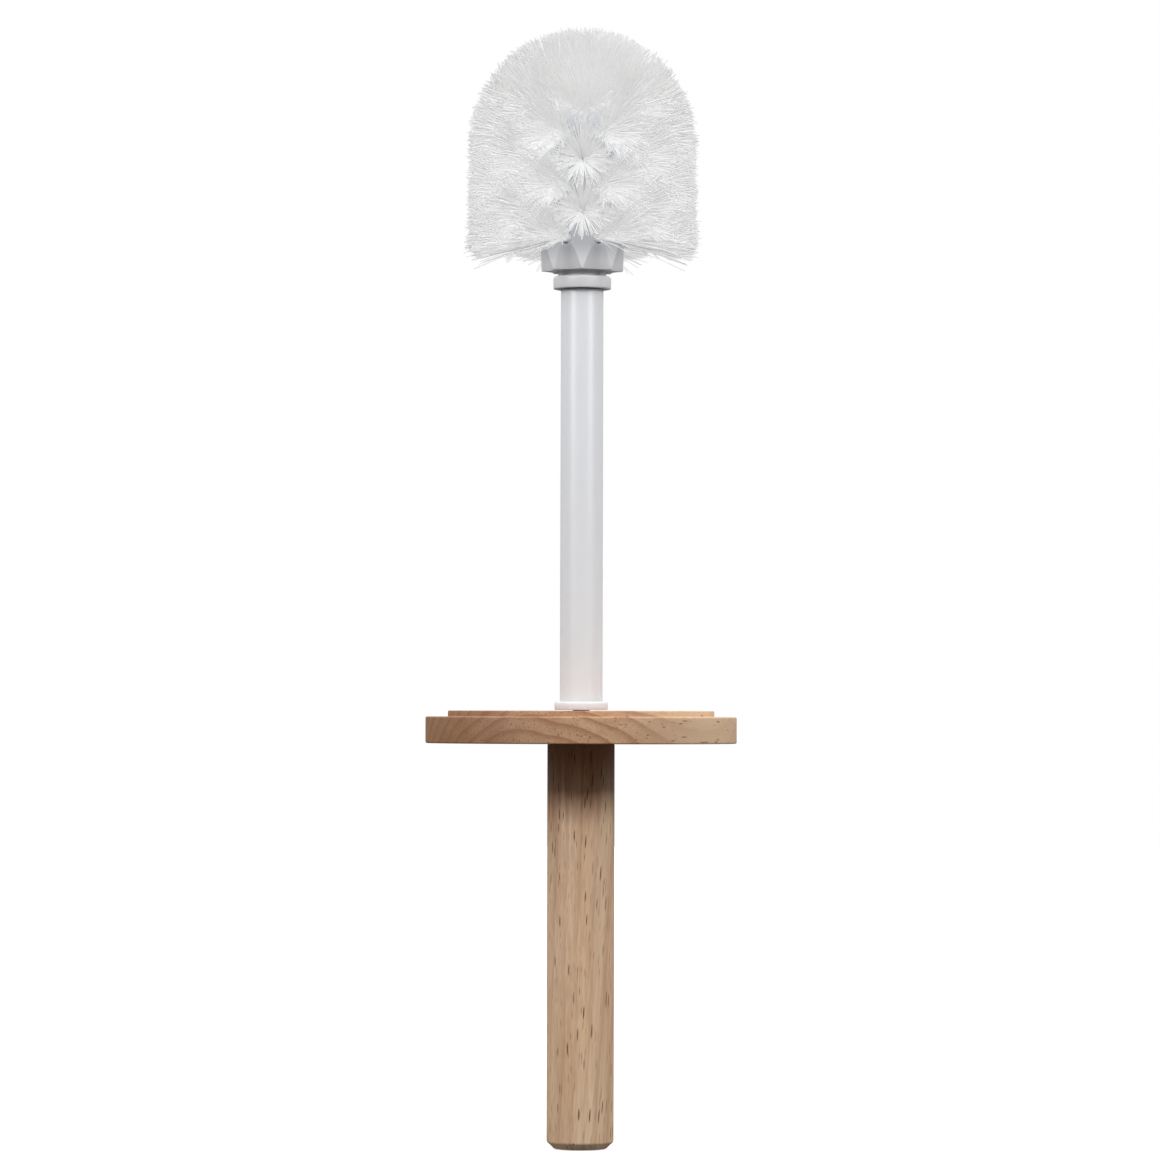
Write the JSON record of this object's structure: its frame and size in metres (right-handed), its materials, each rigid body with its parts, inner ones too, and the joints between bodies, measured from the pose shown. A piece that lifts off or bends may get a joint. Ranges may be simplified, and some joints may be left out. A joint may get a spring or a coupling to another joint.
{
  "type": "toilet brush",
  "caption": "Toilet brush on a turned wooden handle and lid, with a moulded rod and a round head of staggered nylon tufts that screws off.",
  "frame": {"origin": "centre of the handle's end face, which the brush stands on", "axes": "+Z along the rod towards the brush head; -Y is the front, where a point between two scallops of the skirt and a tuft of the second ring face it"},
  "size_m": [0.111, 0.111, 0.3986],
  "materials": {
    "handle_wood": "oiled, fine open pores along the grain",
    "lid_wood": "oiled, growth rings and open pores",
    "stud_steel": "plain rolled thread rod",
    "white_plastic": "satin moulded",
    "bristle_nylon": "fine translucent white filaments"
  },
  "bodies": {
    "stick": {"handle": "handle_wood", "lid": "lid_wood", "joining_stud": "stud_steel", "foot_collar": "white_plastic", "rod": "white_plastic"},
    "head_collar": {"socket_ring": "white_plastic"},
    "brush_head": {"brush_core": "white_plastic", "tuft_1_1": "bristle_nylon", "tuft_1_2": "bristle_nylon", "tuft_1_3": "bristle_nylon", "tuft_1_4": "bristle_nylon", "tuft_1_5": "bristle_nylon", "tuft_1_6": "bristle_nylon", "tuft_1_7": "bristle_nylon", "tuft_1_8": "bristle_nylon", "tuft_2_1": "bristle_nylon", "tuft_2_2": "bristle_nylon", "tuft_2_3": "bristle_nylon", "tuft_2_4": "bristle_nylon", "tuft_2_5": "bristle_nylon", "tuft_2_6": "bristle_nylon", "tuft_2_7": "bristle_nylon", "tuft_2_8": "bristle_nylon", "tuft_3_1": "bristle_nylon", "tuft_3_2": "bristle_nylon", "tuft_3_3": "bristle_nylon", "tuft_3_4": "bristle_nylon", "tuft_3_5": "bristle_nylon", "tuft_3_6": "bristle_nylon", "tuft_3_7": "bristle_nylon", "tuft_3_8": "bristle_nylon", "tuft_4_1": "bristle_nylon", "tuft_4_2": "bristle_nylon", "tuft_4_3": "bristle_nylon", "tuft_4_4": "bristle_nylon", "tuft_4_5": "bristle_nylon", "tuft_4_6": "bristle_nylon", "tuft_4_7": "bristle_nylon", "tuft_4_8": "bristle_nylon", "tuft_5_1": "bristle_nylon", "tuft_5_2": "bristle_nylon", "tuft_5_3": "bristle_nylon", "tuft_5_4": "bristle_nylon", "tuft_5_5": "bristle_nylon", "tuft_5_6": "bristle_nylon", "tuft_5_7": "bristle_nylon", "tuft_5_8": "bristle_nylon", "tuft_6_1": "bristle_nylon", "tuft_6_2": "bristle_nylon", "tuft_6_3": "bristle_nylon", "tuft_6_4": "bristle_nylon", "tuft_6_5": "bristle_nylon", "tuft_6_6": "bristle_nylon", "tuft_6_7": "bristle_nylon", "tuft_6_8": "bristle_nylon", "tuft_crown_1": "bristle_nylon", "tuft_crown_2": "bristle_nylon", "tuft_crown_3": "bristle_nylon", "tuft_crown_4": "bristle_nylon"}
  },
  "joints": [
    {"name": "head_lift", "type": "slide", "parent": "stick", "child": "head_collar", "axis": [0, 0, 1], "range_m": [0, 0.018]},
    {"name": "head_turn", "type": "hinge", "parent": "head_collar", "child": "brush_head", "pos_m": [0, 0, 0.3063], "axis": [0, 0, 1], "range_deg": [0, 1620]}
  ],
  "couplings": [
    {"joint": "head_lift", "follows": "head_turn", "m_per_rad": 0.00063662}
  ]
}
